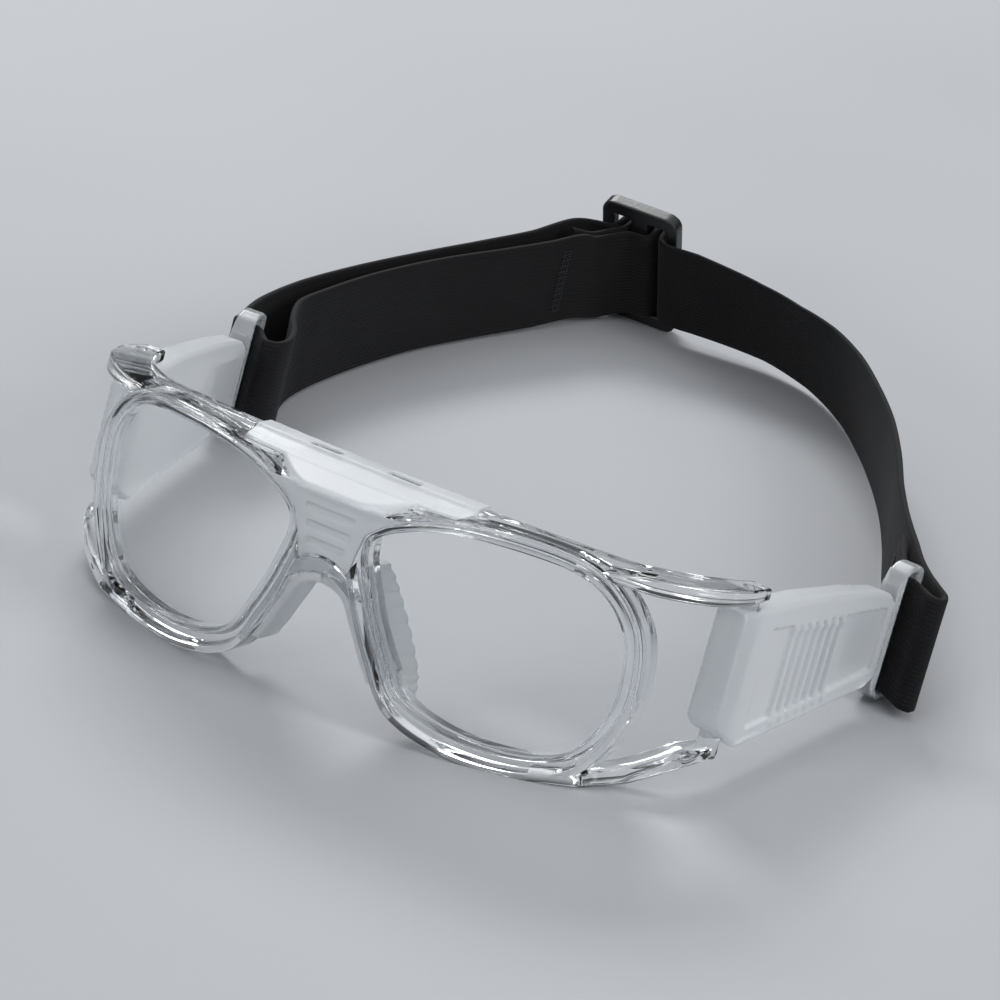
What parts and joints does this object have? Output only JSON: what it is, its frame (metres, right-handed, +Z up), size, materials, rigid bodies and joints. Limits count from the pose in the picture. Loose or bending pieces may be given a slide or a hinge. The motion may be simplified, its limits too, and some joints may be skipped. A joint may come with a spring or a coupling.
{
  "type": "sports_protective_goggles",
  "caption": "Sports protective goggles: a clear wraparound frame and lenses with soft silicone brow cover, nose pads and side arms, held on by an adjustable elastic head strap.",
  "frame": {"origin": "centre of the footprint, on the surface that the goggles rest on", "axes": "+Z up, the lenses face -Y, +X is towards the wearer's left side"},
  "size_m": [0.1818, 0.2468, 0.0513],
  "materials": {
    "clear_frame": "clear glossy polycarbonate, thick edges pale grey",
    "clear_lens": "clear polished polycarbonate",
    "frosted_silicone": "milky translucent silicone, satin",
    "black_webbing": "knitted elastic webbing, matt",
    "black_thread": "polyester thread",
    "black_plastic": "moulded nylon, semi-gloss"
  },
  "bodies": {
    "frame": {"front_frame": "clear_frame", "bridge_cover": "frosted_silicone", "left_lens": "clear_lens", "right_lens": "clear_lens", "left_nose_pad": "frosted_silicone", "right_nose_pad": "frosted_silicone", "strap_left_side": "black_webbing", "strap_rear_run": "black_webbing", "strap_rear_outer": "black_webbing", "strap_right_outer": "black_webbing", "strap_right_inner": "black_webbing"},
    "left_temple": {"left_sleeve": "frosted_silicone", "left_strap_bracket": "clear_frame", "strap_left_loop": "black_webbing", "left_bar_tack": "black_thread"},
    "right_temple": {"right_sleeve": "frosted_silicone", "right_strap_bracket": "clear_frame", "strap_right_loop": "black_webbing"},
    "slider": {"slider": "black_plastic", "strap_weave": "black_webbing", "strap_sewn_end": "black_webbing", "slider_bar_tack": "black_thread"}
  },
  "joints": [
    {"name": "left_temple_flex", "type": "hinge", "parent": "frame", "child": "left_temple", "pos_m": [0.07055, -0.08267, 0.02228], "axis": [0, 0.1942, 0.981], "range_deg": [-14, 12], "stiffness_Nm_per_rad": 0.05, "deforming": ["strap_left_side"]},
    {"name": "right_temple_flex", "type": "hinge", "parent": "frame", "child": "right_temple", "pos_m": [-0.07285, -0.08267, 0.02228], "axis": [0, -0.1942, -0.981], "range_deg": [-14, 12], "stiffness_Nm_per_rad": 0.05, "deforming": ["strap_right_outer", "strap_right_inner"]},
    {"name": "slider_travel", "type": "slide", "parent": "frame", "child": "slider", "axis": [1, 0, 0], "range_m": [0, 0.018], "deforming": ["strap_rear_run", "strap_rear_outer", "strap_sewn_end"]}
  ]
}
